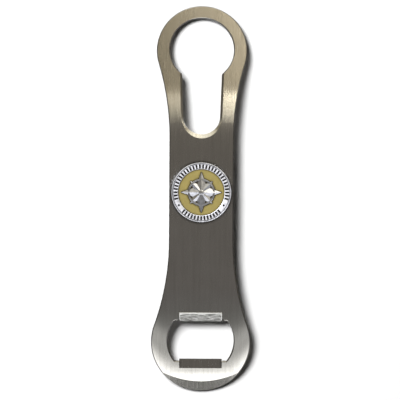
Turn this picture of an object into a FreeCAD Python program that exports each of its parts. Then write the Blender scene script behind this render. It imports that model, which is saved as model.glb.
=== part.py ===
import FreeCAD, Part
import math
import os
import re
import Sketcher

# A flat bar opener with a souvenir medallion stuck on its handle.
#
# The frame: +Y runs along the opener towards its hanging ring, +X is to the right when the medallion
# faces up and the ring points away, and +Z is up out of the medallion. The origin is under the middle of
# the opener, on the surface that it rests on. The handle is flat and both ends bend down, so the opener
# stands on its two tips like a low bridge.

# Lengths are in millimetres and angles in degrees. A place along the opener is its distance from the
# middle: towards +Y for the ring, the hanging hole and the slot, and towards -Y for the bulb, the opening,
# the lips and the crescent. Heights in the medallion are measured from its back.
DIMENSIONS = {
    "half_length": 88.9,
    "handle_half_width": 14.76,
    "ring_radius": 20.85,
    "ring_flank_radius": 120,
    "bulb_radius": 22.83,
    "bulb_flank_radius": 115,
    "trim_margin": 6,

    "plate_thickness": 2.5,
    "face_height": 10.18,
    "ring_bend_start": 34.5,
    "ring_bend_radius": 105,
    "ring_tilt": 9.6,
    "bulb_bend_start": 42,
    "bulb_bend_radius": 147,

    "hanging_hole_centre": 68.7,
    "hanging_hole_radius": 14.75,
    "slot_mouth": 58.5,
    "slot_mouth_half_width": 9.22,
    "slot_end_centre": 37.85,
    "slot_end_radius": 8.45,
    "slot_lead_centre": 36.4,
    "slot_lead_radius": 8.9,
    "slot_lead_angle": 24,
    "slot_lead_cut": 1,

    "opening_centre": 65.4,
    "opening_radius": 15.2,
    "opening_near_edge": 56.3,
    "opening_far_edge": 74.9,
    "opening_corner": 1.4,

    "lip_half_width": 9.8,
    "lip_thickness": 2.1,
    "lip_overlap": 0.8,
    "lip_relief": 0.8,
    "lip_corner": 1.2,
    "near_lip_root": 52.6,
    "near_lip_reach": 4,
    "near_lip_angle": 30,
    "far_lip_root": 78.3,
    "far_lip_reach": 4.35,
    "lip_sink": 0.15,

    "crescent_start": 84.5,
    "crescent_radius": 34,
    "crescent_angle": 7,
    "crescent_cut": 12,

    "outline_round": 0.45,
    "slot_round": 1.1,
    "hole_round": 0.5,
    "opening_round": 0.5,
    "back_round": 0.35,

    "medallion_place": 2.7,
    "medallion_radius": 13.7,
    "adhesive_radius": 13,
    "adhesive_thickness": 0.15,
    "bead_inner_radius": 13.1,
    "bead_top": 2.3,
    "band_top": 2,
    "field_radius": 10.6,
    "field_floor": 1.2,
    "emblem_top": 2.5,

    "long_point": 9.3,
    "long_point_waist": 2.9,
    "long_point_half_width": 2.3,
    "short_point": 7.2,
    "short_point_waist": 2.8,
    "short_point_half_width": 1.9,
    "hoop_outer_radius": 6.2,
    "hoop_inner_radius": 5.3,
    "hoop_top": 2.3,
    "boss_radius": 1.9,
    "boss_top": 2.9,

    "mark_circle_radius": 11.85,
    "mark_half_height": 0.9,
    "mark_half_width": 0.36,
    "mark_depth": 0.35,
    "mark_pitch": 7.2,
    "upper_marks": 30,
    "lower_marks": 13,
    "dot_radius": 0.45,
    "dot_spread": 120,

    "field_fill_top": 1.6,
    "mark_fill_top": 1.9,
    "fill_margin": 0.2,
}

# Places on a sketch element, the sketch's own origin and its axes, as the Sketcher numbers them.
START, END, CENTRE = 1, 2, 3
ORIGIN = (-1, START)
ACROSS_AXIS, ALONG_AXIS = -1, -2

# How upright a face's normal is, from 0 on a wall to 1 on the handle's face: walls stay below the first,
# and the broad sides are above the second.
WALL_LIMIT, BROAD_LIMIT = 0.3, 0.8
NEARLY_ALIGNED = 0.99
TOUCHING = 0.01

THROUGH = {"Type": "ThroughAll", "SideType": "Symmetric"}

doc = FreeCAD.newDocument("bottle_opener")
sheet = doc.addObject("Spreadsheet::Sheet", "dims")
for row, (alias, number) in enumerate(DIMENSIONS.items(), start=1):
    sheet.set(f"A{row}", alias)
    sheet.set(f"B{row}", str(number))
    sheet.setAlias(f"B{row}", alias)
doc.recompute()


# Expressions ---------------------------------------------------------------------------------------------

def bind(text):
    """Write an expression for the sheet, with dims. before every alias."""
    return re.sub(r"[a-z_]+", lambda word: f"dims.{word[0]}" if word[0] in DIMENSIONS else word[0], text)


def value(text):
    """The number that an expression comes to."""
    return float(sheet.evalExpression(bind(text)))


def minus(text):
    return f"-({text})"


# Sketches ------------------------------------------------------------------------------------------------

def new_sketch(body, name, role="XY_Plane"):
    sketch = body.newObject("Sketcher::SketchObject", name)
    plane = next(feature for feature in body.Origin.OriginFeatures if feature.Role == role)
    sketch.AttachmentSupport = (plane, [""])
    sketch.MapMode = "FlatFace"
    return sketch


def turn_sketch(sketch, axis, angle):
    """Turn a sketch on its plane's own axis by an angle expression."""
    sketch.AttachmentOffset = FreeCAD.Placement(FreeCAD.Vector(), FreeCAD.Rotation(axis, value(angle)))
    sketch.setExpression("AttachmentOffset.Rotation.Angle", bind(angle))


def line(sketch, start, end):
    return sketch.addGeometry(Part.LineSegment(FreeCAD.Vector(*start, 0), FreeCAD.Vector(*end, 0)))


def circle_shape(centre, radius):
    return Part.Circle(FreeCAD.Vector(*centre, 0), FreeCAD.Vector(0, 0, 1), radius)


def arc(sketch, centre, radius, first, last):
    """An arc anticlockwise from one angle to another, in degrees."""
    whole = circle_shape(centre, radius)
    return sketch.addGeometry(Part.ArcOfCircle(whole, math.radians(first), math.radians(last)))


def rule(sketch, kind, *places):
    sketch.addConstraint(Sketcher.Constraint(kind, *places))


def size(sketch, kind, places, text):
    """Add a dimension and bind it to an expression."""
    index = sketch.addConstraint(Sketcher.Constraint(kind, *places, value(text)))
    sketch.setExpression(f"Constraints[{index}]", bind(text))


def locate(sketch, element, point, across, along):
    """Hold a point at two expressions measured from the sketch's origin, where "0" puts it on an axis."""
    for kind, axis, text in (("DistanceX", ALONG_AXIS, across), ("DistanceY", ACROSS_AXIS, along)):
        if text == "0":
            rule(sketch, "PointOnObject", element, point, axis)
        else:
            size(sketch, kind, (*ORIGIN, element, point), text)


def polygon(sketch, corners):
    """Draw a closed outline of straight lines whose corners are pairs of expressions."""
    points = [(value(across), value(along)) for across, along in corners]
    sides = [line(sketch, start, end) for start, end in zip(points, points[1:] + points[:1])]
    for side, following, (across, along) in zip(sides, sides[1:] + sides[:1], corners):
        rule(sketch, "Coincident", side, END, following, START)
        if (across, along) == ("0", "0"):
            rule(sketch, "Coincident", side, START, *ORIGIN)
        else:
            locate(sketch, side, START, across, along)


def rectangle(sketch, half_width, low, high):
    """Draw a rectangle that is centred across the sketch."""
    left = minus(half_width)
    polygon(sketch, [(left, low), (half_width, low), (half_width, high), (left, high)])


def circle(sketch, radius, along="0"):
    """Draw a circle centred on the sketch's origin, or a stretch along it."""
    element = sketch.addGeometry(circle_shape((0, value(along)), value(radius)))
    if along == "0":
        rule(sketch, "Coincident", element, CENTRE, *ORIGIN)
    else:
        locate(sketch, element, CENTRE, "0", along)
    size(sketch, "Radius", (element,), radius)


# Features ------------------------------------------------------------------------------------------------

def new_body(name):
    body = doc.addObject("PartDesign::Body", name)
    body.Label = name
    return body


def add_feature(body, kind, name, sketch, length=None, **settings):
    """Make a sketch into a feature, whose length may be an expression."""
    feature = body.newObject(f"PartDesign::{kind}", name)
    feature.Profile = sketch
    for setting, choice in settings.items():
        setattr(feature, setting, choice)
    if length:
        feature.setExpression("Length", bind(length))
    doc.recompute()
    return feature


def add_pattern(body, name, original, sketch, angle, count):
    """Repeat a feature round its sketch's normal, from its own place through an angle."""
    pattern = body.newObject("PartDesign::PolarPattern", name)
    pattern.Originals = [original]
    pattern.Axis = (sketch, ["N_Axis"])
    pattern.setExpression("Angle", bind(angle))
    pattern.setExpression("Occurrences", bind(count))
    body.Tip = pattern
    doc.recompute()


def round_edges(body, name, radius, chosen):
    """Round the edges of the body so far that a test picks."""
    base = body.Tip
    names = [f"Edge{n}" for n, edge in enumerate(base.Shape.Edges, start=1) if chosen(base.Shape, edge)]
    fillet = body.newObject("PartDesign::Fillet", name)
    fillet.Base = (base, names)
    fillet.setExpression("Radius", bind(radius))
    doc.recompute()


def middle_of(edge):
    return edge.valueAt((edge.FirstParameter + edge.LastParameter) / 2)


def direction_of(edge):
    return edge.tangentAt(edge.FirstParameter)


def rim(side, low="-half_length", high="half_length", reach="bulb_radius"):
    """A test for edges between a wall and the plate's front (side 1) or back (side -1).

    The edge's middle also lies between two places along the plate, and within a reach of its centre line.
    """
    low_end, high_end, half_width = value(low), value(high), value(reach)

    def chosen(shape, edge):
        middle = middle_of(edge)
        if not (low_end <= middle.y <= high_end and abs(middle.x) <= half_width):
            return False
        faces = shape.ancestorsOfType(edge, Part.Face)
        upright = [face.normalAt(*face.Surface.parameter(middle)).z for face in faces]
        has_wall = min(abs(part) for part in upright) < WALL_LIMIT
        return has_wall and max(part * side for part in upright) > BROAD_LIMIT

    return chosen


# The plate's front surface, as expressions. Towards the ring it is a bend and then a straight slope, and
# towards the opener's tip it is one long bend.
RING_BEND_END = "ring_bend_start + ring_bend_radius * sin(ring_tilt)"
RING_BEND_DROP = "ring_bend_radius * (1 - cos(ring_tilt))"
SIDE_REACH = "(half_length + trim_margin)"


def ring_front(place):
    return f"face_height - {RING_BEND_DROP} - ({place} - ({RING_BEND_END})) * tan(ring_tilt)"


def bulb_front(place):
    return f"face_height - bulb_bend_radius + sqrt(bulb_bend_radius ^ 2 - ({place} - bulb_bend_start) ^ 2)"


def bulb_slope(place):
    return f"asin(({place} - bulb_bend_start) / bulb_bend_radius)"


def on_arc(centre, radius, angle):
    turn = math.radians(angle)
    return centre[0] + radius * math.cos(turn), centre[1] + radius * math.sin(turn)


def draw_side_profile(sketch):
    """The plate seen from its side: flat in the middle, bent down at both ends, of one thickness."""
    face, thickness, reach = value("face_height"), value("plate_thickness"), value(SIDE_REACH)
    ring_start, ring_radius = value("ring_bend_start"), value("ring_bend_radius")
    bulb_start, bulb_radius = value("bulb_bend_start"), value("bulb_bend_radius")
    ring_angle = 90 - value("ring_tilt")
    bulb_angle = 90 + value(bulb_slope(SIDE_REACH))
    ring_centre = (ring_start, face - ring_radius)
    bulb_centre = (-bulb_start, face - bulb_radius)
    slope_end = (reach, value(ring_front(SIDE_REACH)))
    under_end = on_arc(slope_end, -thickness, ring_angle)

    bulb_bend = arc(sketch, bulb_centre, bulb_radius, 90, bulb_angle)
    face_line = line(sketch, (-bulb_start, face), (ring_start, face))
    ring_bend = arc(sketch, ring_centre, ring_radius, ring_angle, 90)
    slope = line(sketch, on_arc(ring_centre, ring_radius, ring_angle), slope_end)
    ring_close = line(sketch, slope_end, under_end)
    under_slope = line(sketch, under_end, on_arc(ring_centre, ring_radius - thickness, ring_angle))
    ring_under = arc(sketch, ring_centre, ring_radius - thickness, ring_angle, 90)
    under_line = line(sketch, (ring_start, face - thickness), (-bulb_start, face - thickness))
    bulb_under = arc(sketch, bulb_centre, bulb_radius - thickness, 90, bulb_angle)
    bulb_close = line(sketch, on_arc(bulb_centre, bulb_radius - thickness, bulb_angle),
                      on_arc(bulb_centre, bulb_radius, bulb_angle))

    rule(sketch, "Tangent", bulb_bend, START, face_line, START)
    rule(sketch, "Tangent", face_line, END, ring_bend, END)
    rule(sketch, "Tangent", ring_bend, START, slope, START)
    rule(sketch, "Tangent", under_slope, END, ring_under, START)
    rule(sketch, "Tangent", ring_under, END, under_line, START)
    rule(sketch, "Tangent", under_line, END, bulb_under, START)
    rule(sketch, "Coincident", slope, END, ring_close, START)
    rule(sketch, "Coincident", ring_close, END, under_slope, START)
    rule(sketch, "Coincident", bulb_under, END, bulb_close, START)
    rule(sketch, "Coincident", bulb_close, END, bulb_bend, END)
    rule(sketch, "Coincident", ring_under, CENTRE, ring_bend, CENTRE)
    rule(sketch, "Coincident", bulb_under, CENTRE, bulb_bend, CENTRE)
    rule(sketch, "Horizontal", face_line)
    rule(sketch, "Horizontal", under_line)
    rule(sketch, "Perpendicular", slope, ring_close)
    rule(sketch, "Parallel", slope, under_slope)
    rule(sketch, "PointOnObject", bulb_bend, CENTRE, bulb_close)

    size(sketch, "DistanceY", (*ORIGIN, face_line, START), "face_height")
    size(sketch, "DistanceY", (under_line, START, face_line, START), "plate_thickness")
    size(sketch, "DistanceX", (*ORIGIN, face_line, START), "-bulb_bend_start")
    size(sketch, "DistanceX", (*ORIGIN, face_line, END), "ring_bend_start")
    size(sketch, "Radius", (bulb_bend,), "bulb_bend_radius")
    size(sketch, "Radius", (ring_bend,), "ring_bend_radius")
    size(sketch, "DistanceX", (*ORIGIN, slope, START), RING_BEND_END)
    size(sketch, "DistanceX", (*ORIGIN, slope, END), SIDE_REACH)
    size(sketch, "DistanceX", (*ORIGIN, bulb_bend, END), minus(SIDE_REACH))


def flank_run(end_radius, flank_radius):
    """How far a hollow flank runs along the plate, from the handle's side to level with the round end."""
    overhang = f"({end_radius} - handle_half_width)"
    return f"sqrt({overhang} * (2 * {flank_radius} + {end_radius} + handle_half_width))"


def draw_outline(sketch):
    """The plate seen from above: two round ends that flow into the handle through hollow flanks."""
    half_width = value("handle_half_width")
    ring_radius, ring_flank = value("ring_radius"), value("ring_flank_radius")
    bulb_radius, bulb_flank = value("bulb_radius"), value("bulb_flank_radius")
    ring_centre = value("half_length - ring_radius")
    bulb_centre = value("bulb_radius - half_length")
    ring_join = ring_centre - value(flank_run("ring_radius", "ring_flank_radius"))
    bulb_join = bulb_centre + value(flank_run("bulb_radius", "bulb_flank_radius"))
    ring_angle = math.degrees(math.atan2(ring_centre - ring_join, half_width + ring_flank))
    bulb_angle = math.degrees(math.atan2(bulb_join - bulb_centre, half_width + bulb_flank))

    right = line(sketch, (half_width, bulb_join), (half_width, ring_join))
    left = line(sketch, (-half_width, ring_join), (-half_width, bulb_join))
    ring = arc(sketch, (0, ring_centre), ring_radius, -ring_angle, 180 + ring_angle)
    bulb = arc(sketch, (0, bulb_centre), bulb_radius, 180 - bulb_angle, 360 + bulb_angle)
    ring_right = arc(sketch, (half_width + ring_flank, ring_join), ring_flank, 180 - ring_angle, 180)
    ring_left = arc(sketch, (-half_width - ring_flank, ring_join), ring_flank, 0, ring_angle)
    bulb_right = arc(sketch, (half_width + bulb_flank, bulb_join), bulb_flank, 180, 180 + bulb_angle)
    bulb_left = arc(sketch, (-half_width - bulb_flank, bulb_join), bulb_flank, -bulb_angle, 0)

    rule(sketch, "Tangent", right, END, ring_right, END)
    rule(sketch, "Tangent", ring_right, START, ring, START)
    rule(sketch, "Tangent", ring, END, ring_left, END)
    rule(sketch, "Tangent", ring_left, START, left, START)
    rule(sketch, "Tangent", left, END, bulb_left, END)
    rule(sketch, "Tangent", bulb_left, START, bulb, START)
    rule(sketch, "Tangent", bulb, END, bulb_right, END)
    rule(sketch, "Tangent", bulb_right, START, right, START)
    rule(sketch, "Vertical", right)
    rule(sketch, "Vertical", left)
    size(sketch, "DistanceX", (*ORIGIN, right, START), "handle_half_width")
    size(sketch, "DistanceX", (*ORIGIN, left, START), "-handle_half_width")
    locate(sketch, ring, CENTRE, "0", "half_length - ring_radius")
    locate(sketch, bulb, CENTRE, "0", "bulb_radius - half_length")
    for element, radius in ((ring, "ring_radius"), (bulb, "bulb_radius"),
                            (ring_right, "ring_flank_radius"), (ring_left, "ring_flank_radius"),
                            (bulb_right, "bulb_flank_radius"), (bulb_left, "bulb_flank_radius")):
        size(sketch, "Radius", (element,), radius)


def draw_slot(sketch):
    """The narrow part of the keyhole, from inside the hanging hole to its round end on the handle."""
    mouth, half_mouth = value("slot_mouth"), value("slot_mouth_half_width")
    centre, radius = value("slot_end_centre"), value("slot_end_radius")
    to_corner = math.hypot(half_mouth, mouth - centre)
    angle = math.degrees(math.atan2(mouth - centre, half_mouth) - math.acos(radius / to_corner))
    touch = on_arc((0, centre), radius, angle)

    end = arc(sketch, (0, centre), radius, 180 - angle, 360 + angle)
    right = line(sketch, touch, (half_mouth, mouth))
    top = line(sketch, (half_mouth, mouth), (-half_mouth, mouth))
    left = line(sketch, (-half_mouth, mouth), (-touch[0], touch[1]))
    rule(sketch, "Tangent", end, END, right, START)
    rule(sketch, "Coincident", right, END, top, START)
    rule(sketch, "Coincident", top, END, left, START)
    rule(sketch, "Tangent", left, END, end, START)
    locate(sketch, end, CENTRE, "0", "slot_end_centre")
    size(sketch, "Radius", (end,), "slot_end_radius")
    locate(sketch, top, START, "slot_mouth_half_width", "slot_mouth")
    locate(sketch, top, END, "-slot_mouth_half_width", "slot_mouth")


def draw_opening(sketch):
    """The crown-cap opening: a circle with its near and far sides cut straight."""
    radius, centre = value("opening_radius"), value("-opening_centre")
    near, far = value("-opening_near_edge"), value("-opening_far_edge")
    near_angle = math.degrees(math.asin((near - centre) / radius))
    far_angle = math.degrees(math.asin((far - centre) / radius))
    near_right = on_arc((0, centre), radius, near_angle)
    far_right = on_arc((0, centre), radius, far_angle)

    right = arc(sketch, (0, centre), radius, far_angle, near_angle)
    top = line(sketch, near_right, (-near_right[0], near))
    left = arc(sketch, (0, centre), radius, 180 - near_angle, 180 - far_angle)
    bottom = line(sketch, (-far_right[0], far), far_right)
    for side, following in ((right, top), (top, left), (left, bottom), (bottom, right)):
        rule(sketch, "Coincident", side, END, following, START)
    rule(sketch, "Coincident", right, CENTRE, left, CENTRE)
    rule(sketch, "Equal", right, left)
    rule(sketch, "Horizontal", top)
    rule(sketch, "Horizontal", bottom)
    locate(sketch, right, CENTRE, "0", "-opening_centre")
    size(sketch, "Radius", (right,), "opening_radius")
    size(sketch, "DistanceY", (*ORIGIN, top, START), "-opening_near_edge")
    size(sketch, "DistanceY", (*ORIGIN, bottom, START), "-opening_far_edge")


def draw_lip_notches(sketch):
    """Where the plate is cut away for the two lips, with a relief cut at each side of the near one."""
    near_relief = "-(opening_near_edge - lip_relief)"
    inside_opening = "-(opening_near_edge + lip_relief)"
    relief_side = "(lip_half_width + lip_relief)"
    polygon(sketch, [
        ("-lip_half_width", "-near_lip_root"),
        ("-lip_half_width", near_relief),
        (minus(relief_side), near_relief),
        (minus(relief_side), inside_opening),
        (relief_side, inside_opening),
        (relief_side, near_relief),
        ("lip_half_width", near_relief),
        ("lip_half_width", "-near_lip_root"),
    ])
    rectangle(sketch, "lip_half_width", "-far_lip_root", "-(opening_far_edge - lip_relief)")


def draw_near_lip(sketch):
    """The lip that hooks under a cap, leaving the plate's front surface and bending down into the opening."""
    root_top = bulb_front("near_lip_root")
    free_end = "-(near_lip_root + near_lip_reach)"
    free_top = f"{root_top} - near_lip_reach * tan(near_lip_angle)"
    root_under = f"{root_top} - lip_thickness / cos(near_lip_angle)"
    polygon(sketch, [
        ("-near_lip_root", root_top),
        (free_end, free_top),
        (f"{free_end} + lip_thickness * sin(near_lip_angle)",
         f"{free_top} - lip_thickness * cos(near_lip_angle)"),
        ("-near_lip_root", root_under),
        ("-near_lip_root + lip_overlap", root_under),
        ("-near_lip_root + lip_overlap", f"{root_top} - lip_sink"),
    ])


def draw_far_lip(sketch):
    """The lip that rests on a cap, level with the handle and so below the sloping plate beside it."""
    level = f"{bulb_front('far_lip_root')} - lip_sink"
    polygon(sketch, [
        ("-far_lip_root", level),
        ("-far_lip_root + far_lip_reach", level),
        ("-far_lip_root + far_lip_reach", f"{level} - lip_thickness"),
        ("-(far_lip_root + lip_overlap)", f"{level} - lip_thickness"),
        ("-(far_lip_root + lip_overlap)", f"{level} - lip_overlap"),
    ])


def draw_crescent(sketch):
    """The wedge that, turned about an axis square to the plate, grinds the crescent facet on the tip."""
    slope = bulb_slope("crescent_start")
    facet_slope = f"({slope} + crescent_angle * 1 deg)"
    along, height = "-crescent_start", bulb_front("crescent_start")
    foot = (f"{along} + crescent_radius * cos({slope})", f"{height} + crescent_radius * sin({slope})")
    top = (f"{foot[0]} - crescent_cut * sin({slope})", f"{foot[1]} + crescent_cut * cos({slope})")
    polygon(sketch, [
        (along, height),
        (f"{along} - crescent_cut * cos({facet_slope})", f"{height} - crescent_cut * sin({facet_slope})"),
        (f"{along} - crescent_cut", height),
    ])
    axis = line(sketch, [value(text) for text in foot], [value(text) for text in top])
    sketch.toggleConstruction(axis)
    locate(sketch, axis, START, *foot)
    locate(sketch, axis, END, *top)


def draw_slot_lead(sketch):
    """The section that, turned about an upright axis, cones the slot's round end as a lead-in."""
    inner = "slot_lead_centre"
    outer = f"{inner} - slot_lead_radius"
    top = "face_height + slot_lead_cut"
    apex = "face_height - slot_lead_radius * tan(slot_lead_angle)"
    polygon(sketch, [(outer, "face_height"), (outer, top), (inner, top), (inner, apex)])
    axis = line(sketch, (value(inner), value(apex)), (value(inner), value(top)))
    sketch.toggleConstruction(axis)
    locate(sketch, axis, START, inner, apex)
    locate(sketch, axis, END, inner, top)


def is_opening_corner(shape, edge):
    """The two upright edges at the ends of the opening's near side."""
    upright = abs(direction_of(edge).z) > NEARLY_ALIGNED
    on_near_side = abs(middle_of(edge).y + value("opening_near_edge")) < TOUCHING
    return upright and on_near_side and abs(middle_of(edge).x) < value("opening_radius")


def is_near_lip_corner(shape, edge):
    """The two short edges through the near lip at the sides of its free end."""
    angle = math.radians(value("near_lip_angle"))
    through = FreeCAD.Vector(0, math.sin(angle), -math.cos(angle))
    middle = middle_of(edge)
    at_side = abs(abs(middle.x) - value("lip_half_width")) < TOUCHING
    at_lip = value("-opening_centre") < middle.y < value("-near_lip_root")
    return at_side and at_lip and abs(direction_of(edge).dot(through)) > NEARLY_ALIGNED


# Sub-parts -----------------------------------------------------------------------------------------------

def make_plate():
    """The stamped plate: a bent strip trimmed to its outline, pierced, with its two lips formed."""
    body = new_body("opener_plate")

    profile = new_sketch(body, "side_profile", "YZ_Plane")
    draw_side_profile(profile)
    add_feature(body, "Pad", "bent_strip", profile, "2 * (bulb_radius + trim_margin)", SideType="Symmetric")

    outline = new_sketch(body, "outline")
    draw_outline(outline)
    rectangle(outline, "(bulb_radius + 2 * trim_margin)",
              "-(half_length + 2 * trim_margin)", "half_length + 2 * trim_margin")
    add_feature(body, "Pocket", "trim_to_outline", outline, **THROUGH)

    round_edges(body, "outline_front_round", "outline_round", rim(1))
    round_edges(body, "outline_back_round", "back_round", rim(-1))
    crescent = new_sketch(body, "crescent_section", "YZ_Plane")
    draw_crescent(crescent)
    add_feature(body, "Groove", "crescent_facet", crescent,
                Midplane=True, Angle=120, ReferenceAxis=(crescent, ["Axis0"]))

    slot = new_sketch(body, "slot_outline")
    draw_slot(slot)
    add_feature(body, "Pocket", "slot", slot, **THROUGH)
    inside = ("slot_end_centre - 2 * slot_end_radius", "hanging_hole_centre + hanging_hole_radius",
              "hanging_hole_radius")
    round_edges(body, "slot_front_round", "slot_round", rim(1, *inside))

    hole = new_sketch(body, "hanging_hole_outline")
    turn_sketch(hole, FreeCAD.Vector(1, 0, 0), "-ring_tilt")
    hole.setExpression("AttachmentOffset.Base.y", bind("hanging_hole_centre"))
    hole.setExpression("AttachmentOffset.Base.z", bind(ring_front("hanging_hole_centre")))
    circle(hole, "hanging_hole_radius")
    add_feature(body, "Pocket", "hanging_hole", hole, **THROUGH)
    round_edges(body, "hole_front_round", "hole_round", rim(1, "slot_mouth", *inside[1:]))
    round_edges(body, "keyhole_back_round", "back_round", rim(-1, *inside))

    lead = new_sketch(body, "slot_lead_section", "YZ_Plane")
    draw_slot_lead(lead)
    add_feature(body, "Groove", "slot_lead", lead, Angle=360, ReferenceAxis=(lead, ["Axis0"]))

    opening = new_sketch(body, "opening_outline")
    draw_opening(opening)
    add_feature(body, "Pocket", "cap_opening", opening, **THROUGH)
    round_edges(body, "opening_corner_round", "opening_corner", is_opening_corner)
    around = ("-(opening_centre + opening_radius)", "-(opening_centre - opening_radius)", "opening_radius")
    round_edges(body, "opening_front_round", "opening_round", rim(1, *around))
    round_edges(body, "opening_back_round", "back_round", rim(-1, *around))

    notches = new_sketch(body, "lip_notches")
    draw_lip_notches(notches)
    add_feature(body, "Pocket", "lip_notch", notches, **THROUGH)
    for name, draw in (("near_lip", draw_near_lip), ("far_lip", draw_far_lip)):
        section = new_sketch(body, f"{name}_section", "YZ_Plane")
        draw(section)
        add_feature(body, "Pad", name, section, "2 * lip_half_width", SideType="Symmetric")
    round_edges(body, "near_lip_corner_round", "lip_corner", is_near_lip_corner)
    return body


def make_medallion():
    """The cast disc: an edge bead, a band with sunk marks, and a compass star in a sunk field."""
    body = new_body("medallion")
    body.setExpression("Placement.Base.y", bind("medallion_place"))
    body.setExpression("Placement.Base.z", bind("face_height + adhesive_thickness"))

    section = new_sketch(body, "disc_section", "XZ_Plane")
    polygon(section, [
        ("0", "0"),
        ("medallion_radius", "0"),
        ("medallion_radius", "bead_top"),
        ("bead_inner_radius", "bead_top"),
        ("bead_inner_radius", "band_top"),
        ("field_radius", "band_top"),
        ("field_radius", "field_floor"),
        ("0", "field_floor"),
    ])
    add_feature(body, "Revolution", "disc", section, ReferenceAxis=(section, ["V_Axis"]), Angle=360)

    for name, first_angle in (("long_point", "0"), ("short_point", "45")):
        kite = new_sketch(body, f"{name}_outline")
        turn_sketch(kite, FreeCAD.Vector(0, 0, 1), first_angle)
        waist, half_width = f"{name}_waist", f"{name}_half_width"
        polygon(kite, [("0", "0"), (half_width, waist), ("0", name), (minus(half_width), waist)])
        point = add_feature(body, "Pad", name, kite, "emblem_top")
        add_pattern(body, f"{name}s", point, kite, "360", "4")
    hoop = new_sketch(body, "hoop_outline")
    circle(hoop, "hoop_outer_radius")
    circle(hoop, "hoop_inner_radius")
    add_feature(body, "Pad", "hoop", hoop, "hoop_top")
    boss = new_sketch(body, "boss_outline")
    circle(boss, "boss_radius")
    add_feature(body, "Pad", "boss", boss, "boss_top")

    for name, count, middle in (("upper_marks", "upper_marks", "0"), ("lower_marks", "lower_marks", "180")):
        spread = f"mark_pitch * ({count} - 1)"
        bar = new_sketch(body, f"{name}_first_bar")
        bar.setExpression("AttachmentOffset.Base.z", bind("band_top"))
        turn_sketch(bar, FreeCAD.Vector(0, 0, 1), f"{middle} - {spread} / 2")
        rectangle(bar, "mark_half_width", "mark_circle_radius - mark_half_height",
                  "mark_circle_radius + mark_half_height")
        pocket = add_feature(body, "Pocket", f"{name}_first", bar, "mark_depth")
        add_pattern(body, name, pocket, bar, spread, count)
    dot = new_sketch(body, "dot_outline")
    dot.setExpression("AttachmentOffset.Base.z", bind("band_top"))
    turn_sketch(dot, FreeCAD.Vector(0, 0, 1), "180 - dot_spread / 2")
    circle(dot, "dot_radius", "mark_circle_radius")
    pocket = add_feature(body, "Pocket", "first_dot", dot, "mark_depth")
    add_pattern(body, "dots", pocket, dot, "dot_spread", "2")
    return body


def new_cylinder(name, radius, height, above):
    """A round solid on the medallion's axis, from a height above the handle's face."""
    solid = doc.addObject("Part::Cylinder", name)
    solid.setExpression("Radius", bind(radius))
    solid.setExpression("Height", bind(height))
    solid.setExpression("Placement.Base.y", bind("medallion_place"))
    solid.setExpression("Placement.Base.z", bind(f"face_height + {above}"))
    return solid


def new_cut(name, base, tool):
    cut = doc.addObject("Part::Cut", name)
    cut.Base = base
    cut.Tool = tool
    return cut


def make_field_enamel(medallion):
    """The enamel round the star: what a shallow fill of the sunk field leaves clear of the casting."""
    height = "field_fill_top - field_floor + fill_margin"
    above = "adhesive_thickness + field_floor - fill_margin"
    fill = new_cylinder("field_fill", "field_radius + fill_margin", height, above)
    return new_cut("field_enamel", fill, medallion)


def make_band_enamel(medallion):
    """The enamel in the band's marks, one solid a mark: what a fill leaves clear of the casting."""
    height = "mark_fill_top - band_top + mark_depth + fill_margin"
    above = "adhesive_thickness + band_top - mark_depth - fill_margin"
    outer_radius = "mark_circle_radius + mark_half_height + fill_margin"
    inner_radius = "mark_circle_radius - mark_half_height - fill_margin"
    disc = new_cylinder("band_fill_disc", outer_radius, height, above)
    core = new_cylinder("band_fill_core", inner_radius, height, above)
    return new_cut("band_enamel", new_cut("band_fill", disc, core), medallion)


def make_adhesive_pad():
    return new_cylinder("adhesive_pad", "adhesive_radius", "adhesive_thickness", "0")


def check_document():
    """Stop if any object failed, or if a feature that cuts or adds left its body's volume as it was."""
    for item in doc.Objects:
        if {"Invalid", "Error"} & set(item.State):
            raise RuntimeError(f"{item.Label} failed: {item.State}")
        if item.isDerivedFrom("Sketcher::SketchObject") and not item.FullyConstrained:
            raise RuntimeError(f"{item.Label} is not fully constrained")
    for body in doc.findObjects("PartDesign::Body"):
        solids = [item for item in body.Group if item.isDerivedFrom("PartDesign::Feature")]
        for before, after in zip(solids, solids[1:]):
            change = after.Shape.Volume - before.Shape.Volume
            cuts = after.isDerivedFrom("PartDesign::Pocket") or after.isDerivedFrom("PartDesign::Groove")
            if change == 0 or (cuts and change > 0):
                raise RuntimeError(f"{after.Label} changed the volume by {change:.3f} mm3")


def check_part(part):
    """Stop if a sub-part has no sound solid, and say how large it is."""
    shape = part.Shape
    if shape.isNull() or not shape.isValid() or not shape.Solids:
        raise RuntimeError(f"{part.Label} has no valid solid")
    box = shape.BoundBox
    print(f"{part.Label}: {len(shape.Solids)} solids, {shape.Volume:.2f} mm3, lowest point {box.ZMin:.3f} mm")


medallion = make_medallion()
parts = [
    make_plate(),
    medallion,
    make_field_enamel(medallion),
    make_band_enamel(medallion),
    make_adhesive_pad(),
]
doc.recompute()
check_document()
os.makedirs("parts", exist_ok=True)
for part in parts:
    check_part(part)
    part.Shape.exportStep(f"parts/{part.Label}.step")
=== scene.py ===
import bmesh
import bpy
import math
from mathutils import Matrix, Quaternion, Vector
from mathutils.geometry import delaunay_2d_cdt, intersect_line_line_2d


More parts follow.
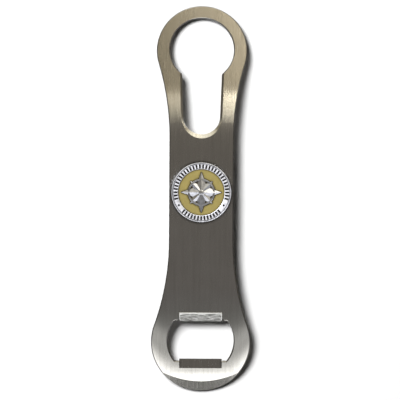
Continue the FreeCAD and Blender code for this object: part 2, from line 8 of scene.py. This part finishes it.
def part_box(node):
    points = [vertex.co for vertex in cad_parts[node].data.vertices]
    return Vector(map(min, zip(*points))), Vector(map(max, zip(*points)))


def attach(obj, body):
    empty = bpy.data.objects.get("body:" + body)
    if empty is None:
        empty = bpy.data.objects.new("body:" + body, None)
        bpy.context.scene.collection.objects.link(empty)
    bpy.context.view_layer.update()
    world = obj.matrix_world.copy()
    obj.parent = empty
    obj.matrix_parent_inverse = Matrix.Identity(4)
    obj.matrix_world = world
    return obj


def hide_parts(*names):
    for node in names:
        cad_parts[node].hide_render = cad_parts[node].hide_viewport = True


# The looks of a bottle opener with a souvenir medallion, and a studio to see it in. The plate, the enamels
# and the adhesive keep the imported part's meshes. The medallion's casting gets two finer meshes.

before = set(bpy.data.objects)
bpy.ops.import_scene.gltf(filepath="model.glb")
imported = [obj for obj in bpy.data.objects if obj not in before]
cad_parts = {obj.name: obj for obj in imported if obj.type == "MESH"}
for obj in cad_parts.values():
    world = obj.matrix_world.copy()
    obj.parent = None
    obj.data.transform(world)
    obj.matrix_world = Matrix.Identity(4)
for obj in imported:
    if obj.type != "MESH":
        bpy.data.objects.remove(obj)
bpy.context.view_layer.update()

MM = 0.001

# Light that the studio sends down at each slope along the opener's length: the sine of the direction's
# angle from straight up, positive towards the ring end, then red, green and blue.
STUDIO_BANDS = (
    (-1.00, (0.80, 0.80, 0.78)),
    (-0.90, (0.95, 0.95, 0.93)),
    (-0.87, (0.60, 0.60, 0.58)),
    (-0.84, (0.21, 0.21, 0.20)),
    (-0.71, (0.21, 0.21, 0.20)),
    (-0.66, (3.30, 3.30, 3.28)),
    (-0.54, (3.30, 3.30, 3.28)),
    (-0.50, (1.70, 1.70, 1.67)),
    (-0.46, (0.85, 0.85, 0.83)),
    (-0.42, (0.65, 0.65, 0.63)),
    (-0.38, (0.82, 0.82, 0.80)),
    (-0.33, (0.72, 0.72, 0.70)),
    (-0.27, (0.31, 0.31, 0.30)),
    (-0.18, (0.23, 0.225, 0.215)),
    (-0.05, (0.215, 0.203, 0.195)),
    (0.05, (0.215, 0.195, 0.170)),
    (0.09, (0.24, 0.22, 0.175)),
    (0.14, (0.38, 0.35, 0.26)),
    (0.21, (0.53, 0.46, 0.33)),
    (0.32, (0.38, 0.325, 0.22)),
    (0.37, (0.23, 0.20, 0.14)),
    (0.44, (0.50, 0.44, 0.31)),
    (0.60, (1.60, 1.50, 1.20)),
    (0.80, (1.60, 1.55, 1.35)),
    (1.00, (0.80, 0.80, 0.78)),
)
BACKDROP = (0.95, 0.95, 0.95)
FLOOR_COLOUR = (0.5, 0.5, 0.5)
FLOOR_SIZE = 4

# The key light: where it is, what it is aimed at, its width and height, and its radiance on the floor and on
# the medallion.
KEY_PLACE = (-0.78, 0.78, 2.0)
KEY_AIM = (0, 0, 0)
KEY_SIZE = (0.84, 0.84)
FLOOR_KEY_RADIANCE = 58
MEDALLION_KEY_RADIANCE = 28

# Two warm panels to the right of the ring end. The bend in the right arm mirrors the first one, and the ring
# mirrors the second.
PANELS = (
    {"name": "bend_panel", "place": (0.048, 0.0643, 0.12), "aim": (0.017, 0.0435, 0.01),
     "size": (0.05, 0.018), "radiance": 11, "colour": (1, 0.93, 0.76)},
    {"name": "ring_panel", "place": (0.032, 0.124, 0.125), "aim": (0, 0.07, 0.005),
     "size": (0.08, 0.030), "radiance": 2.1, "colour": (1, 0.87, 0.64), "turn": -44},
)

# The camera: its place in metres, its roll in degrees, and its lens and its sensor's width in millimetres.
CAMERA_PLACE = (-0.0006, -0.0008, 1.03)
CAMERA_ROLL = 0.3
CAMERA_LENS = 200
CAMERA_SENSOR = 36

# Places on the plate, in metres. The near lip's reach is taken a little past its free end.
NEAR_LIP_ROOT = -0.0526
NEAR_LIP_REACH = 0.0041
LIP_HALF_WIDTH = 0.0098
LIP_ROOT_EDGE = 0.0005
LIP_SIDE_EDGE = 0.0004
# The painted shade at the near lip's free end: how far it reaches, and how light the free end stays under it.
LIP_SHADED_END = 0.0014
LIP_END_LIGHTNESS = 0.55
LIP_SOFTNESS = 0.00008
BULB_BEND_START = -0.042

# The soft dish pressed round the cap opening: how long it deepens and then how long it fades, how far its rim
# is from the centre plane, how much it tilts the middle down, and how much more the rim, in radians.
DISH_LENGTH = 0.0375
DISH_FADE = 0.0045
DISH_RIM = 0.0189
DISH_MIDDLE_TILT = -0.036
DISH_RIM_EXTRA = 0.052

# Zones of the plate whose turned-over edges get no painted shade and keep their bright reflections: half
# width, lowest and highest place along the opener, and how soft the zone's sides and ends are.
SLOT_END_ZONE = (0.0112, 0.0150, 0.0335, 0.0002, 0.004)
LIPS_ZONE = (0.0100, -0.0800, -0.0510, 0.0002, 0.0002)

# The plate is turned over where its normal's upright part is under the first two numbers, fully at the lower
# one, or its sideways part is over the second two, fully at the higher one. There it gets painted shade and
# more roughness.
UPRIGHT_LIMITS = (0.78, 0.90)
SIDEWAYS_LIMITS = (0.08, 0.20)

# Steel colours: the brushed plate, the painted shade on its turned-over edges and in its crevices, the near
# lip, the painted shade at its free end and the painted highlight on its edges.
PLATE_DARK, PLATE_PALE = (0.42, 0.41, 0.39), (0.50, 0.49, 0.47)
PLATE_EDGE_SHADE, PLATE_CREVICE_SHADE = (0.13, 0.125, 0.12), (0.06, 0.06, 0.055)
LIP_DARK, LIP_PALE = (0.30, 0.30, 0.29), (0.88, 0.88, 0.87)
LIP_END_SHADE, LIP_EDGE_HIGHLIGHT = (0.05, 0.05, 0.05), (0.98, 0.98, 0.97)

# How many cells of noise a metre holds: across the opener, along it and upwards for the steel's grains, and
# every way for the rest.
FINE_GRAIN = (6000, 250, 250)
STREAKS = (900, 45, 45)
STROKES = (2400, 90, 90)
LIP_MOTTLE = (330, 2100, 2100)
PLATE_CLOUDS = 110
CAST_GRAIN, CAST_CLOUDS = 4000, 500
ENAMEL_SPECKS, ENAMEL_CLOUDS = 4500, 350
FOAM_CELLS, FOAM_CLOUDS = 3500, 300

# How near another surface darkens this one, in metres: painted shade on the plate and the enamels, dark age
# in the casting's corners and hollows.
PLATE_CREVICE_REACH = 0.0016
CAST_CORNER_REACH, CAST_HOLLOW_REACH = 0.0006, 0.0020
ENAMEL_CORNER_REACH = 0.0011
OCCLUSION_SAMPLES = 8

# Heights of the bumps that the grains make, in metres.
FINE_GRAIN_HEIGHT = 0.000001
STROKE_HEIGHT = 0.000008
LIP_MOTTLE_HEIGHT = 0.00012
CAST_GRAIN_HEIGHT = 0.000015
ENAMEL_WAVE_HEIGHT = 0.00003
FOAM_CELL_HEIGHT = 0.00004

# The medallion in millimetres, from its centre and from its back. These are the part's own sizes, except
# that the field's and the marks' floors are just under the enamel's surface, which hides them.
BAND_TOP = 2.0
FIELD_FLOOR = 1.5
WALL_FOOT = 1.55
MARK_RADIUS = 11.85
MARK_HALF_LENGTH = 0.9
MARK_HALF_WIDTH = 0.36
MARK_FLOOR = 1.85
MARK_SLOPE = 0.06
MARK_PITCH = 7.2
UPPER_MARKS, LOWER_MARKS = 30, 13
DOT_RADIUS = 0.45
DOT_ANGLES = (-30, 210)

# How many sides stand for each circle, the angle in degrees past which an edge is sharp, and how near two
# corners are taken as one.
CIRCLE_STEPS = 180
HOOP_STEPS = 96
BOSS_STEPS = 48
DOT_STEPS = 24
SHARP_ANGLE = 28
MERGE_DISTANCE = 1e-6

# Radius and height round the rim, from the bead's outer foot to the band's edge above the field.
RIM_PROFILE = (
    (13.70, 1.90), (13.68, 2.08), (13.60, 2.21), (13.46, 2.29), (13.32, 2.28), (13.20, 2.18), (13.13, 2.02),
    (13.09, 1.90), (12.98, 1.90), (12.92, BAND_TOP), (10.78, BAND_TOP), (10.68, 1.96), (10.63, 1.86),
    (10.60, WALL_FOOT), (10.50, FIELD_FLOOR),
)
HOOP_PROFILE = (
    (6.20, WALL_FOOT), (6.20, 1.95), (6.13, 2.14), (5.98, 2.26), (5.75, 2.30), (5.52, 2.26), (5.37, 2.14),
    (5.30, 1.95), (5.30, WALL_FOOT),
)
BOSS_PROFILE = (
    (1.90, 1.90), (1.90, 2.40), (1.82, 2.50), (1.66, 2.52), (1.52, 2.44), (1.42, 2.44), (1.34, 2.56),
    (1.16, 2.70), (0.86, 2.82), (0.46, 2.88), (0.0, 2.9),
)

# The star's long and short points, each with its tip's radius and its waist's radius and half width, and the
# heights of the middle, the tips and the notches.
LONG_POINT, LONG_WAIST, LONG_HALF_WIDTH = 9.3, 2.9, 2.3
SHORT_POINT, SHORT_WAIST, SHORT_HALF_WIDTH = 7.2, 2.8, 1.9
STAR_HUB = 2.86
LONG_TIP_TOP, NOTCH_TOP, SHORT_TIP_TOP = 2.04, 1.92, 2.02


def rgba(colour):
    """Red, green and blue with full alpha, or a colour socket as it is."""
    return colour if isinstance(colour, bpy.types.NodeSocket) else (*colour, 1)


class Nodes:
    """A node tree with short calls for the nodes that the materials use."""

    def __init__(self, tree):
        self.tree = tree

    def add(self, kind, inputs=(), **settings):
        node = self.tree.nodes.new(kind)
        for name, setting in settings.items():
            setattr(node, name, setting)
        for name, source in dict(inputs).items():
            self.feed(node.inputs[name], source)
        return node

    def feed(self, socket, source):
        if isinstance(source, bpy.types.NodeSocket):
            self.tree.links.new(source, socket)
        else:
            socket.default_value = source

    def math(self, operation, first, second=0.0, third=0.0):
        return self.add("ShaderNodeMath", {0: first, 1: second, 2: third}, operation=operation).outputs[0]

    def scaled(self, vector, factors):
        inputs = {"Vector": vector, "Scale": factors}
        return self.add("ShaderNodeMapping", inputs, vector_type="POINT").outputs[0]

    def noise(self, vector, scale, detail=2.0, roughness=0.5):
        inputs = {"Vector": vector, "Scale": scale, "Detail": detail, "Roughness": roughness}
        return self.add("ShaderNodeTexNoise", inputs).outputs["Fac"]

    def fit(self, number, low, high, to_low=0.0, to_high=1.0):
        inputs = {"Value": number, "From Min": low, "From Max": high, "To Min": to_low, "To Max": to_high}
        return self.add("ShaderNodeMapRange", inputs, clamp=True).outputs[0]

    def blend(self, amount, first, second):
        inputs = {"Factor": amount, 6: rgba(first), 7: rgba(second)}
        return self.add("ShaderNodeMix", inputs, data_type="RGBA").outputs[2]

    def below(self, number, high, soft):
        """1 where a number is under a limit, falling to 0 over a soft edge past it."""
        return self.fit(number, high, high + soft, 1.0, 0.0)

    def between(self, number, low, high, soft):
        """1 where a number is between two limits, falling to 0 over a soft edge outside them."""
        rising = self.fit(number, low - soft, low)
        return self.math("MULTIPLY", rising, self.below(number, high, soft))

    def in_zone(self, across, along, half_width, low, high, side_soft, end_soft):
        """1 inside a rectangle on the plate, falling to 0 over its soft sides and ends."""
        sides = self.below(across, half_width, side_soft)
        return self.math("MULTIPLY", sides, self.between(along, low, high, end_soft))

    def openness(self, distance):
        """1 in the open, and less where something else is within a distance in metres."""
        inputs = {"Distance": distance}
        node = self.add("ShaderNodeAmbientOcclusion", inputs, samples=OCCLUSION_SAMPLES)
        return node.outputs["AO"]

    def bump(self, shader, height):
        """Tilt a shader's normals as if its surface had a height in metres."""
        node = self.add("ShaderNodeBump", {"Distance": 1.0, "Height": height})
        self.feed(shader.inputs["Normal"], node.outputs[0])


def new_material(name):
    made = bpy.data.materials.new(name)
    made.use_nodes = True
    nodes = Nodes(made.node_tree)
    return made, nodes, made.node_tree.nodes["Principled BSDF"]


def object_position(nodes):
    return nodes.add("ShaderNodeTexCoord").outputs["Object"]


def plate_axes(nodes, place):
    """The distance from the opener's centre plane, and the place along the opener."""
    axes = nodes.add("ShaderNodeSeparateXYZ", {0: place})
    return nodes.math("ABSOLUTE", axes.outputs["X"]), axes.outputs["Y"]


def near_lip_masks(nodes, place):
    """Where the near lip is, where its root edge and side edges are for the painted highlight, and how light
    it stays under the painted shade by its free end.
    """
    across, along = plate_axes(nodes, place)
    root, free_end = NEAR_LIP_ROOT, NEAR_LIP_ROOT - NEAR_LIP_REACH
    lip = nodes.in_zone(across, along, LIP_HALF_WIDTH, free_end, root, LIP_SOFTNESS, LIP_SOFTNESS)
    root_edge = nodes.between(along, root - LIP_ROOT_EDGE, root, LIP_SOFTNESS)
    side_edge = nodes.between(across, LIP_HALF_WIDTH - LIP_SIDE_EDGE, LIP_HALF_WIDTH, LIP_SOFTNESS)
    edges = nodes.math("MULTIPLY", lip, nodes.math("MAXIMUM", root_edge, side_edge))
    return lip, edges, nodes.fit(along, free_end, free_end + LIP_SHADED_END, LIP_END_LIGHTNESS)


def bulb_dish(nodes, place):
    """Height of the soft dish pressed round the cap opening: the rim bends down sooner than the middle."""
    across, along = plate_axes(nodes, place)
    beyond = nodes.math("SUBTRACT", BULB_BEND_START, along)
    to_rim = nodes.math("POWER", nodes.math("DIVIDE", across, DISH_RIM), 4)
    tilt = nodes.math("MULTIPLY_ADD", to_rim, DISH_RIM_EXTRA, DISH_MIDDLE_TILT)
    rise = nodes.fit(beyond, 0, DISH_LENGTH, 0, DISH_LENGTH)
    fade = nodes.fit(beyond, DISH_LENGTH, DISH_LENGTH + DISH_FADE, 0, DISH_FADE)
    risen = nodes.math("DIVIDE", nodes.math("MULTIPLY", rise, rise), 2 * DISH_LENGTH)
    eased = nodes.math("DIVIDE", nodes.math("MULTIPLY", fade, fade), 2 * DISH_FADE)
    depth = nodes.math("ADD", risen, nodes.math("SUBTRACT", fade, eased))
    return nodes.math("MULTIPLY", tilt, nodes.math("MULTIPLY", depth, -1))


def turned_edge_shade(nodes, place):
    """Where the plate turns over into its cut edges and gets painted shade, away from the slot's bright end
    and from the lips.
    """
    normal = nodes.add("ShaderNodeSeparateXYZ", {0: nodes.add("ShaderNodeTexCoord").outputs["Normal"]})
    steep = nodes.fit(nodes.math("ABSOLUTE", normal.outputs["Z"]), *UPRIGHT_LIMITS, 1.0, 0.0)
    sideways = nodes.fit(nodes.math("ABSOLUTE", normal.outputs["X"]), *SIDEWAYS_LIMITS)
    turned = nodes.math("MAXIMUM", steep, sideways)
    across, along = plate_axes(nodes, place)
    slot_end, lips = (nodes.in_zone(across, along, *zone) for zone in (SLOT_END_ZONE, LIPS_ZONE))
    return nodes.math("MULTIPLY", turned, nodes.math("SUBTRACT", 1, nodes.math("MAXIMUM", slot_end, lips)))


def brushed_steel():
    """Stainless steel ground lengthwise: its highlights spread across the opener and stay crisp along it.

    The near lip is ground after it is bent, so it is paler and mottled; a painted highlight lights its root
    and side edges.
    """
    made, nodes, shader = new_material("brushed steel")
    place = object_position(nodes)
    fine = nodes.noise(nodes.scaled(place, FINE_GRAIN), 1.0, 3)
    streaks = nodes.noise(nodes.scaled(place, STREAKS), 1.0, 4, 0.6)
    strokes = nodes.noise(nodes.scaled(place, STROKES), 1.0, 2)
    mottle = nodes.noise(nodes.scaled(place, LIP_MOTTLE), 1.0, 4, 0.65)
    clouds = nodes.noise(place, PLATE_CLOUDS, 3)
    lip, lip_edge_highlight, lip_end_shade = near_lip_masks(nodes, place)
    edge = turned_edge_shade(nodes, place)
    shader.inputs["Metallic"].default_value = 1
    shader.inputs["Anisotropic"].default_value = 1
    nodes.feed(shader.inputs["Tangent"], nodes.add("ShaderNodeCombineXYZ", {"X": 1.0, "Z": 0.03}).outputs[0])

    tone = nodes.math("ADD", nodes.math("MULTIPLY", streaks, 0.7), nodes.math("MULTIPLY", clouds, 0.3))
    plate_tone = nodes.blend(nodes.fit(tone, 0.3, 0.7), PLATE_DARK, PLATE_PALE)
    # Painted shade on the plate's turned-over edges.
    plate_tone = nodes.blend(edge, plate_tone, PLATE_EDGE_SHADE)
    # Painted shade where another surface stands near the plate, as round the medallion's foot and in the
    # lips' corners.
    in_the_open = nodes.fit(nodes.openness(PLATE_CREVICE_REACH), 0.5, 0.95)
    plate_tone = nodes.blend(in_the_open, PLATE_CREVICE_SHADE, plate_tone)
    lip_tone = nodes.blend(nodes.fit(mottle, 0.42, 0.60), LIP_DARK, LIP_PALE)
    # Painted shade by the near lip's free end.
    lip_tone = nodes.blend(lip_end_shade, LIP_END_SHADE, lip_tone)
    colour = nodes.blend(lip, plate_tone, lip_tone)
    # Painted highlight along the near lip's root and side edges.
    nodes.feed(shader.inputs["Base Color"], nodes.blend(lip_edge_highlight, colour, LIP_EDGE_HIGHLIGHT))

    combed = nodes.math("ADD", nodes.math("MULTIPLY", fine, 0.4), nodes.math("MULTIPLY", strokes, 0.6))
    plate_roughness = nodes.fit(combed, 0.35, 0.65, 0.19, 0.28)
    lip_roughness = nodes.fit(mottle, 0.3, 0.7, 0.55, 0.38)
    roughness = nodes.add("ShaderNodeMix", {"Factor": lip, 2: plate_roughness, 3: lip_roughness}).outputs[0]
    nodes.feed(shader.inputs["Roughness"], nodes.math("MULTIPLY_ADD", edge, 0.2, roughness))

    height = nodes.math("MULTIPLY_ADD", fine, FINE_GRAIN_HEIGHT, bulb_dish(nodes, place))
    height = nodes.math("MULTIPLY_ADD", strokes, STROKE_HEIGHT, height)
    height = nodes.math("MULTIPLY_ADD", nodes.math("MULTIPLY", mottle, lip), LIP_MOTTLE_HEIGHT, height)
    nodes.bump(shader, height)
    return made


def cast_silver(name, bright, aged, roughness):
    """Silver-plated casting: bright on top, dark with age in its corners, with a soft cast grain."""
    made, nodes, shader = new_material(name)
    place = object_position(nodes)
    grain = nodes.noise(place, CAST_GRAIN, 3, 0.6)
    clouds = nodes.noise(place, CAST_CLOUDS, 3)
    corners = nodes.fit(nodes.openness(CAST_CORNER_REACH), 0.5, 0.97)
    hollows = nodes.fit(nodes.openness(CAST_HOLLOW_REACH), 0.3, 0.95, 0.5, 1.0)
    shade = nodes.math("MULTIPLY", corners, hollows)
    shade = nodes.math("MULTIPLY", shade, nodes.fit(clouds, 0.35, 0.6, 0.7, 1.0))
    shader.inputs["Metallic"].default_value = 1
    nodes.feed(shader.inputs["Base Color"], nodes.blend(shade, aged, bright))
    nodes.feed(shader.inputs["Roughness"], nodes.fit(grain, 0.3, 0.7, roughness - 0.05, roughness + 0.05))
    nodes.bump(shader, nodes.math("MULTIPLY", grain, CAST_GRAIN_HEIGHT))
    return made


def enamel(name, colour, shaded):
    """Glossy fired enamel, a little uneven in colour and level, with painted shade where it meets the metal.
    """
    made, nodes, shader = new_material(name)
    place = object_position(nodes)
    clouds = nodes.noise(place, ENAMEL_CLOUDS, 4, 0.6)
    specks = nodes.noise(place, ENAMEL_SPECKS, 2)
    # Painted shade where the enamel meets the metal's walls.
    corners = nodes.fit(nodes.openness(ENAMEL_CORNER_REACH), 0.72, 0.98)
    shade = nodes.math("MULTIPLY", corners, nodes.fit(clouds, 0.3, 0.7, 0.85, 1.0))
    nodes.feed(shader.inputs["Base Color"], nodes.blend(shade, shaded, colour))
    nodes.feed(shader.inputs["Roughness"], nodes.fit(specks, 0.35, 0.65, 0.14, 0.3))
    nodes.bump(shader, nodes.math("MULTIPLY", clouds, ENAMEL_WAVE_HEIGHT))
    return made


def foam_tape(name, pale, dark):
    """The pad under the medallion: matt closed-cell foam, speckled and a little pitted."""
    made, nodes, shader = new_material(name)
    place = object_position(nodes)
    cells = nodes.noise(place, FOAM_CELLS, 3, 0.6)
    clouds = nodes.noise(place, FOAM_CLOUDS, 2)
    shade = nodes.math("MULTIPLY", nodes.fit(cells, 0.35, 0.60), nodes.fit(clouds, 0.3, 0.7, 0.7, 1.0))
    nodes.feed(shader.inputs["Base Color"], nodes.blend(shade, dark, pale))
    nodes.feed(shader.inputs["Roughness"], nodes.fit(cells, 0.3, 0.7, 0.85, 0.65))
    nodes.bump(shader, nodes.math("MULTIPLY", cells, FOAM_CELL_HEIGHT))
    return made


def matt_paper(name, colour):
    made, _, shader = new_material(name)
    shader.inputs["Base Color"].default_value = rgba(colour)
    shader.inputs["Roughness"].default_value = 0.9
    return made


def polar(radius, degrees):
    angle = math.radians(degrees)
    return radius * math.cos(angle), radius * math.sin(angle)


def circle_points(radius, steps=CIRCLE_STEPS, centre=(0, 0)):
    return [(centre[0] + radius * math.cos(math.tau * step / steps),
             centre[1] + radius * math.sin(math.tau * step / steps)) for step in range(steps)]


def mark_points(degrees, margin):
    """The corners of one mark's bar, which stands across the band at an angle on the disc."""
    outward = Vector(polar(1, degrees))
    sideways = outward.orthogonal()
    length, width = MARK_HALF_LENGTH + margin, MARK_HALF_WIDTH + margin
    corners = ((-length, -width), (length, -width), (length, width), (-length, width))
    return [tuple(outward * (MARK_RADIUS + along) + sideways * across) for along, across in corners]


def mark_angles():
    for count, middle in ((UPPER_MARKS, 90), (LOWER_MARKS, -90)):
        for index in range(count):
            yield middle + (index - (count - 1) / 2) * MARK_PITCH


def disc_loops():
    """Every closed line on the disc's front, with its height."""
    loops = [(circle_points(radius), height) for radius, height in RIM_PROFILE]
    for degrees in mark_angles():
        loops.append((mark_points(degrees, MARK_SLOPE), BAND_TOP))
        loops.append((mark_points(degrees, 0), MARK_FLOOR))
    for degrees in DOT_ANGLES:
        centre = polar(MARK_RADIUS, degrees)
        loops.append((circle_points(DOT_RADIUS + MARK_SLOPE, DOT_STEPS, centre), BAND_TOP))
        loops.append((circle_points(DOT_RADIUS, DOT_STEPS, centre), MARK_FLOOR))
    return loops


def add_disc(bm):
    """The disc: its front through all its loops, then its edge and its back."""
    flat, heights, edges = [], [], []
    for points, height in disc_loops():
        first = len(flat)
        flat += [Vector(point) for point in points]
        heights += [height] * len(points)
        edges += [(first + index, first + (index + 1) % len(points)) for index in range(len(points))]
    places, _, triangles, sources, _, _ = delaunay_2d_cdt(flat, edges, [], 0, MERGE_DISTANCE)
    verts = [bm.verts.new((place.x, place.y, heights[source[0]])) for place, source in zip(places, sources)]
    for triangle in triangles:
        bm.faces.new([verts[index] for index in triangle]).smooth = True
    rim = [verts[index] for index in range(CIRCLE_STEPS)]
    foot = [bm.verts.new((vert.co.x, vert.co.y, 0)) for vert in rim]
    for index in range(CIRCLE_STEPS):
        after = (index + 1) % CIRCLE_STEPS
        bm.faces.new((rim[index], foot[index], foot[after], rim[after])).smooth = True
    bm.faces.new(foot)


def add_lathe(bm, profile, steps):
    """A ring or a dome turned about the disc's axis."""
    rings = []
    for radius, height in profile:
        points = circle_points(radius, steps) if radius else [(0, 0)]
        rings.append([bm.verts.new((x, y, height)) for x, y in points])
    for outer, inner in zip(rings, rings[1:]):
        for index in range(steps):
            after = (index + 1) % steps
            nearer = [inner[0]] if len(inner) == 1 else [inner[after], inner[index]]
            bm.faces.new([outer[index], outer[after]] + nearer).smooth = True


def star_quarter():
    """The star's corners from a long tip to before the next one, as radius, angle and height."""
    turned = Matrix.Rotation(math.radians(45), 2)
    notch = intersect_line_line_2d((LONG_POINT, 0), (LONG_WAIST, LONG_HALF_WIDTH),
                                   turned @ Vector((SHORT_POINT, 0)),
                                   turned @ Vector((SHORT_WAIST, -SHORT_HALF_WIDTH)))
    radius, degrees = notch.length, math.degrees(math.atan2(notch.y, notch.x))
    return ((LONG_POINT, 0, LONG_TIP_TOP), (radius, degrees, NOTCH_TOP),
            (SHORT_POINT, 45, SHORT_TIP_TOP), (radius, 90 - degrees, NOTCH_TOP))


def add_star(bm):
    """Eight pointed arms round the centre, each with a ridge along it and a valley at each side."""
    hub = bm.verts.new((0, 0, STAR_HUB))
    top, foot = [], []
    for quarter in range(4):
        for radius, degrees, height in star_quarter():
            x, y = polar(radius, degrees + 90 * quarter)
            top.append(bm.verts.new((x, y, height)))
            foot.append(bm.verts.new((x, y, WALL_FOOT)))
    for index in range(len(top)):
        after = (index + 1) % len(top)
        bm.faces.new((hub, top[index], top[after])).smooth = False
        bm.faces.new((top[index], foot[index], foot[after], top[after])).smooth = False


def new_piece(name, bm, origin, material):
    """A piece made of a bmesh in millimetres round an origin in metres."""
    bmesh.ops.recalc_face_normals(bm, faces=bm.faces)
    mesh = bpy.data.meshes.new(name)
    bm.to_mesh(mesh)
    bm.free()
    mesh.transform(Matrix.Translation(origin) @ Matrix.Scale(MM, 4))
    mesh.set_sharp_from_angle(angle=math.radians(SHARP_ANGLE))
    mesh.materials.append(material)
    piece = bpy.data.objects.new(name, mesh)
    bpy.context.scene.collection.objects.link(piece)
    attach(piece, "root")
    return piece


def make_medallion():
    """The disc and the emblem on it, in place of the plain casting."""
    low, high = (Vector(corner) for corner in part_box("medallion"))
    origin = Vector(((low.x + high.x) / 2, (low.y + high.y) / 2, low.z))
    disc, emblem = bmesh.new(), bmesh.new()
    add_disc(disc)
    add_star(emblem)
    add_lathe(emblem, HOOP_PROFILE, HOOP_STEPS)
    add_lathe(emblem, BOSS_PROFILE, BOSS_STEPS)
    plated = cast_silver("cast silver", (0.50, 0.51, 0.56), (0.015, 0.015, 0.02), 0.42)
    antiqued = cast_silver("antiqued silver", (0.46, 0.47, 0.52), (0.012, 0.012, 0.015), 0.33)
    for name, bm, material in (("medallion_disc", disc, plated), ("medallion_emblem", emblem, antiqued)):
        piece = new_piece(name, bm, origin, material)
        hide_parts("medallion")


def dress(node, material):
    """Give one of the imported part's own meshes a material."""
    node.data.materials.clear()
    node.data.materials.append(material)


def set_world():
    """The bands of light that the metal mirrors. The camera sees a plain backdrop in their place."""
    world = bpy.data.worlds.new("studio")
    bpy.context.scene.world = world
    world.use_nodes = True
    nodes = Nodes(world.node_tree)
    direction = nodes.add("ShaderNodeTexCoord").outputs["Generated"]
    along = nodes.add("ShaderNodeSeparateXYZ", {0: direction}).outputs["Y"]
    ramp = nodes.add("ShaderNodeValToRGB", {"Fac": nodes.fit(along, -1, 1)})
    stops = ramp.color_ramp.elements
    stops.remove(stops[1])
    for sine, colour in STUDIO_BANDS:
        stops.new((sine + 1) / 2).color = rgba(colour)
    stops.remove(stops[0])
    rays = nodes.add("ShaderNodeLightPath")
    seen = nodes.blend(rays.outputs["Is Camera Ray"], ramp.outputs[0], BACKDROP)
    world.cycles_visibility.diffuse = False
    background = world.node_tree.nodes["Background"]
    nodes.feed(background.inputs["Color"], seen)


def add_light(name, place, aim, size, radiance, colour=(1, 1, 1), turn=0):
    """A panel with the same radiance all over its face, turned in its own plane by some degrees."""
    lamp = bpy.data.lights.new(name, "AREA")
    lamp.shape = "RECTANGLE"
    lamp.size, lamp.size_y = size
    lamp.energy = math.pi * radiance * lamp.size * lamp.size_y
    lamp.color = colour
    holder = bpy.data.objects.new(name, lamp)
    bpy.context.scene.collection.objects.link(holder)
    holder.location = place
    facing = (Vector(place) - Vector(aim)).to_track_quat("Z", "Y")
    holder.rotation_euler = (facing @ Quaternion((0, 0, 1), math.radians(turn))).to_euler()
    holder.visible_camera = False
    return holder


def light_only(holder, lit):
    """Keep a light to a few objects, as flags and snoots do."""
    group = bpy.data.collections.new(holder.name)
    for thing in lit:
        group.objects.link(thing)
    holder.light_linking.receiver_collection = group


def set_stage():
    """The floor, the key light on it and on the medallion, and the panels that the ring end mirrors."""
    bpy.ops.mesh.primitive_plane_add(size=FLOOR_SIZE, location=(0, 0, 0))
    floor = bpy.context.object
    floor.name = "floor"
    floor.data.materials.append(matt_paper("floor", FLOOR_COLOUR))
    medallion = [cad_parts[name] for name in ("field_enamel", "band_enamel", "adhesive_pad")]
    medallion.append(bpy.data.objects["medallion_disc"])
    for name, radiance, lit in (("floor_key", FLOOR_KEY_RADIANCE, [floor]),
                                ("medallion_key", MEDALLION_KEY_RADIANCE, medallion)):
        light_only(add_light(name, KEY_PLACE, KEY_AIM, KEY_SIZE, radiance), lit)
    for panel in PANELS:
        add_light(**panel).visible_diffuse = False


def set_camera():
    """A long lens straight above the opener."""
    lens = bpy.data.cameras.new("camera")
    lens.lens = CAMERA_LENS
    lens.sensor_width = CAMERA_SENSOR
    camera = bpy.data.objects.new("camera", lens)
    bpy.context.scene.collection.objects.link(camera)
    camera.location = CAMERA_PLACE
    camera.rotation_euler = (0, 0, math.radians(CAMERA_ROLL))
    bpy.context.scene.camera = camera


bpy.context.scene.view_settings.view_transform = "Standard"
dress(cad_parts["opener_plate"], brushed_steel())
make_medallion()
dress(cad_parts["field_enamel"], enamel("gold enamel", (0.42, 0.34, 0.11), (0.03, 0.022, 0.008)))
dress(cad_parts["band_enamel"], enamel("black enamel", (0.012, 0.012, 0.012), (0.004, 0.004, 0.004)))
dress(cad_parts["adhesive_pad"], foam_tape("foam tape", (0.62, 0.60, 0.55), (0.30, 0.29, 0.26)))
set_world()
set_stage()
set_camera()
